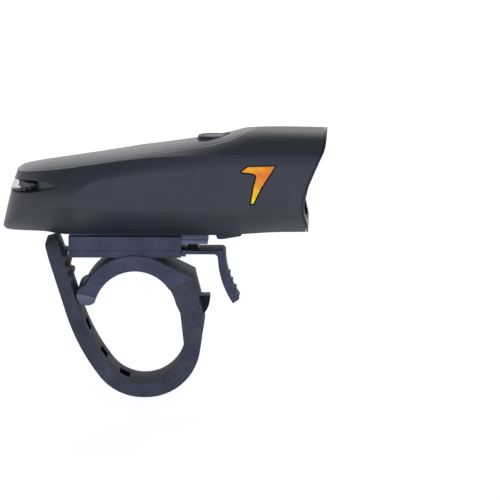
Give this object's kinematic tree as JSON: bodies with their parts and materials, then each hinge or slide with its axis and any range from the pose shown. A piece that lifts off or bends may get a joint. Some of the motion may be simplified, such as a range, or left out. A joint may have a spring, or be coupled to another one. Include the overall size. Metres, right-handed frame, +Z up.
{
  "type": "bike headlight",
  "caption": "Battery bike headlight with a hooded front, grey top strip, press button and amber side windows, on a quick-release handlebar bracket with a rubber strap.",
  "frame": {"origin": "on the handlebar's axis, in the middle of the clamp's width", "axes": "+X forward, the way the lamp shines; +Y along the handlebar to the rider's left; +Z up"},
  "size_m": [0.1004, 0.0332, 0.0826],
  "materials": {
    "abs_black": "fine spark-eroded satin",
    "nylon_black": "matte moulded",
    "rubber_black": "matte",
    "strip_grey": "fine matte",
    "button_rubber": "matte",
    "clear_plastic": "clear polished",
    "amber_plastic": "clear amber",
    "bright_metallised": "metallised plastic",
    "board_metal": "white coated",
    "sink_aluminium": "bead blasted",
    "emitter_yellow": "silicone dome",
    "cell_can": "plastic sleeve over a metal can",
    "cradle_grey": "moulded",
    "board_green": "solder mask",
    "screw_steel": "plated",
    "status_clear": "clear",
    "lead_red": "insulated wire"
  },
  "bodies": {
    "bracket": {"bracket_base": "nylon_black", "strap_band": "rubber_black"},
    "strap_tail": {"strap_tail": "rubber_black"},
    "release_lever": {"release_lever": "nylon_black"},
    "lamp": {"housing": "abs_black", "front_bezel": "abs_black", "front_lens": "clear_plastic", "lens_gasket": "rubber_black", "reflector": "bright_metallised", "led_board": "board_metal", "led_emitter": "emitter_yellow", "heat_sink": "sink_aluminium", "battery_cell": "cell_can", "battery_cradle": "cradle_grey", "circuit_board": "board_green", "board_screws": "screw_steel", "tact_switch": "screw_steel", "usb_socket": "screw_steel", "status_leds": "status_clear", "battery_leads": "lead_red", "led_leads": "lead_red", "top_cover": "strip_grey", "cover_seal": "rubber_black", "side_window_left": "amber_plastic", "side_window_right": "amber_plastic", "rear_indicator_lens": "clear_plastic", "slide_foot": "abs_black", "foot_screws": "screw_steel"},
    "power_button": {"power_button": "button_rubber"},
    "usb_cover": {"usb_cover": "rubber_black"}
  },
  "joints": [
    {"name": "strap_flex", "type": "hinge", "parent": "bracket", "child": "strap_tail", "pos_m": [0.00238, 0, -0.0267], "axis": [0, -1, 0], "range_deg": [0, 60], "stiffness_Nm_per_rad": 0.06, "springref_deg": -20.05},
    {"name": "lever_flex", "type": "hinge", "parent": "bracket", "child": "release_lever", "pos_m": [0.0143, 0, 0.0167], "axis": [0, 1, 0], "range_deg": [0, 8], "stiffness_Nm_per_rad": 0.5, "springref_deg": -2.86},
    {"name": "lamp_slide", "type": "slide", "parent": "bracket", "child": "lamp", "axis": [1, 0, 0], "range_m": [0, 0.045]},
    {"name": "button_press", "type": "slide", "parent": "lamp", "child": "power_button", "axis": [0, 0, -1], "range_m": [0, 0.0008], "stiffness_N_per_m": 2000, "springref_m": -0.0004},
    {"name": "usb_cover_flex", "type": "hinge", "parent": "lamp", "child": "usb_cover", "pos_m": [0.0328, 0, 0.0237], "axis": [0, -1, 0], "range_deg": [0, 25], "stiffness_Nm_per_rad": 0.004, "springref_deg": -11.46}
  ]
}
